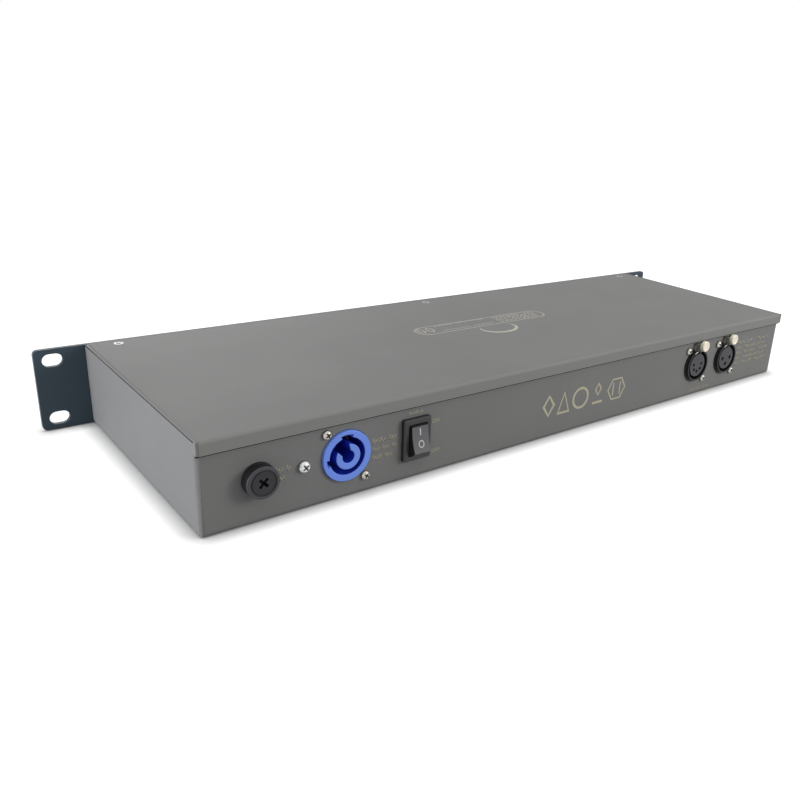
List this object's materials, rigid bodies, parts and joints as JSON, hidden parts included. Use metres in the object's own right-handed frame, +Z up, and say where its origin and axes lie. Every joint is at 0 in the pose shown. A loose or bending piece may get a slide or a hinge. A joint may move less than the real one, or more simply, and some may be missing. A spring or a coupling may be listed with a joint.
{
  "type": "dmx splitter",
  "caption": "One-unit rack-mount lighting signal splitter: folded steel case with ears, latching front outputs, rear link sockets, fused mains inlet and rocker switch.",
  "frame": {"origin": "middle of the whole part's footprint, on the underside of the tray", "axes": "+Z up, front panel faces -Y, rear wall with the mains side faces +Y, +X to the right seen from the front"},
  "size_m": [0.4826, 0.165, 0.045],
  "materials": {
    "grey_paint": "fine-textured powder coat, satin",
    "slate_paint": "smooth dark slate enamel, satin",
    "nickel": "nickel plate, slightly worn",
    "latch_metal": "satin nickel, warm",
    "brass": "plain",
    "black_plastic": "fine grain",
    "black_shell": "black chrome, satin",
    "grey_plastic": "fine grain",
    "blue_plastic": "moulded, semi-gloss",
    "clear_guide": "moulded, clear",
    "circuit_board": "solder mask",
    "core_steel": "varnished laminations",
    "aluminium": "extruded",
    "brown_lead": "insulation",
    "blue_lead": "insulation",
    "earth_lead": "insulation",
    "ribbon": "flat cable"
  },
  "bodies": {
    "chassis": {"chassis_tray": "grey_paint", "top_cover": "grey_paint", "cover_screw_left": "nickel", "cover_screw_middle": "nickel", "cover_screw_right": "nickel", "front_panel": "slate_paint", "panel_screw_1": "nickel", "panel_screw_2": "nickel", "panel_screw_3": "nickel", "panel_screw_4": "nickel", "fuse_holder": "black_plastic", "fuse_holder_nut": "black_plastic", "ground_screw": "nickel", "ground_nut": "brass", "power_inlet": "blue_plastic", "inlet_screw_upper": "nickel", "inlet_screw_lower": "nickel", "switch_housing": "black_plastic", "link5_socket": "black_shell", "link5_insert": "grey_plastic", "link5_screw_upper": "nickel", "link5_screw_lower": "nickel", "link3_socket": "black_shell", "link3_insert": "grey_plastic", "link3_screw_upper": "nickel", "link3_screw_lower": "nickel", "input_socket": "black_shell", "input_insert": "grey_plastic", "output_socket_1": "black_shell", "output_socket_2": "black_shell", "output_socket_3": "black_shell", "output_socket_4": "black_shell", "output_socket_5": "black_shell", "output_socket_6": "black_shell", "output_socket_7": "black_shell", "output_socket_8": "black_shell", "indicator_strip": "clear_guide", "driver_board": "circuit_board", "power_board": "circuit_board", "transformer": "core_steel", "reservoir_capacitor": "black_plastic", "regulator_heatsink": "aluminium", "mains_lead_live": "brown_lead", "mains_lead_switched": "brown_lead", "mains_lead_neutral": "blue_lead", "earth_lead": "earth_lead", "link_ribbon": "ribbon"},
    "rocker": {"switch_rocker": "black_plastic"},
    "fuse_carrier": {"fuse_link": "nickel"},
    "fuse_cap_body": {"fuse_cap": "grey_plastic"},
    "link5_latch_body": {"link5_latch": "latch_metal"},
    "link3_latch_body": {"link3_latch": "latch_metal"},
    "output_latch_1_body": {"output_latch_1": "latch_metal"},
    "output_latch_2_body": {"output_latch_2": "latch_metal"},
    "output_latch_3_body": {"output_latch_3": "latch_metal"},
    "output_latch_4_body": {"output_latch_4": "latch_metal"},
    "output_latch_5_body": {"output_latch_5": "latch_metal"},
    "output_latch_6_body": {"output_latch_6": "latch_metal"},
    "output_latch_7_body": {"output_latch_7": "latch_metal"},
    "output_latch_8_body": {"output_latch_8": "latch_metal"}
  },
  "joints": [
    {"name": "switch_rocker_tilt", "type": "hinge", "parent": "chassis", "child": "rocker", "pos_m": [0.10847, 0.07634, 0.02178], "axis": [-1, 0, 0], "range_deg": [0, 27]},
    {"name": "fuse_carrier_slide", "type": "slide", "parent": "chassis", "child": "fuse_carrier", "axis": [0, 1, 0], "range_m": [0, 0.03]},
    {"name": "fuse_cap_turn", "type": "hinge", "parent": "fuse_carrier", "child": "fuse_cap_body", "pos_m": [0.1903, 0.07515, 0.02178], "axis": [0, 1, 0], "range_deg": [0, 60]},
    {"name": "link5_latch_press", "type": "slide", "parent": "chassis", "child": "link5_latch_body", "axis": [0, -1, 0], "range_m": [0, 0.0016], "stiffness_N_per_m": 400},
    {"name": "link3_latch_press", "type": "slide", "parent": "chassis", "child": "link3_latch_body", "axis": [0, -1, 0], "range_m": [0, 0.0016], "stiffness_N_per_m": 400},
    {"name": "output_latch_1_press", "type": "slide", "parent": "chassis", "child": "output_latch_1_body", "axis": [0, 1, 0], "range_m": [0, 0.0016], "stiffness_N_per_m": 400},
    {"name": "output_latch_2_press", "type": "slide", "parent": "chassis", "child": "output_latch_2_body", "axis": [0, 1, 0], "range_m": [0, 0.0016], "stiffness_N_per_m": 400},
    {"name": "output_latch_3_press", "type": "slide", "parent": "chassis", "child": "output_latch_3_body", "axis": [0, 1, 0], "range_m": [0, 0.0016], "stiffness_N_per_m": 400},
    {"name": "output_latch_4_press", "type": "slide", "parent": "chassis", "child": "output_latch_4_body", "axis": [0, 1, 0], "range_m": [0, 0.0016], "stiffness_N_per_m": 400},
    {"name": "output_latch_5_press", "type": "slide", "parent": "chassis", "child": "output_latch_5_body", "axis": [0, 1, 0], "range_m": [0, 0.0016], "stiffness_N_per_m": 400},
    {"name": "output_latch_6_press", "type": "slide", "parent": "chassis", "child": "output_latch_6_body", "axis": [0, 1, 0], "range_m": [0, 0.0016], "stiffness_N_per_m": 400},
    {"name": "output_latch_7_press", "type": "slide", "parent": "chassis", "child": "output_latch_7_body", "axis": [0, 1, 0], "range_m": [0, 0.0016], "stiffness_N_per_m": 400},
    {"name": "output_latch_8_press", "type": "slide", "parent": "chassis", "child": "output_latch_8_body", "axis": [0, 1, 0], "range_m": [0, 0.0016], "stiffness_N_per_m": 400}
  ]
}
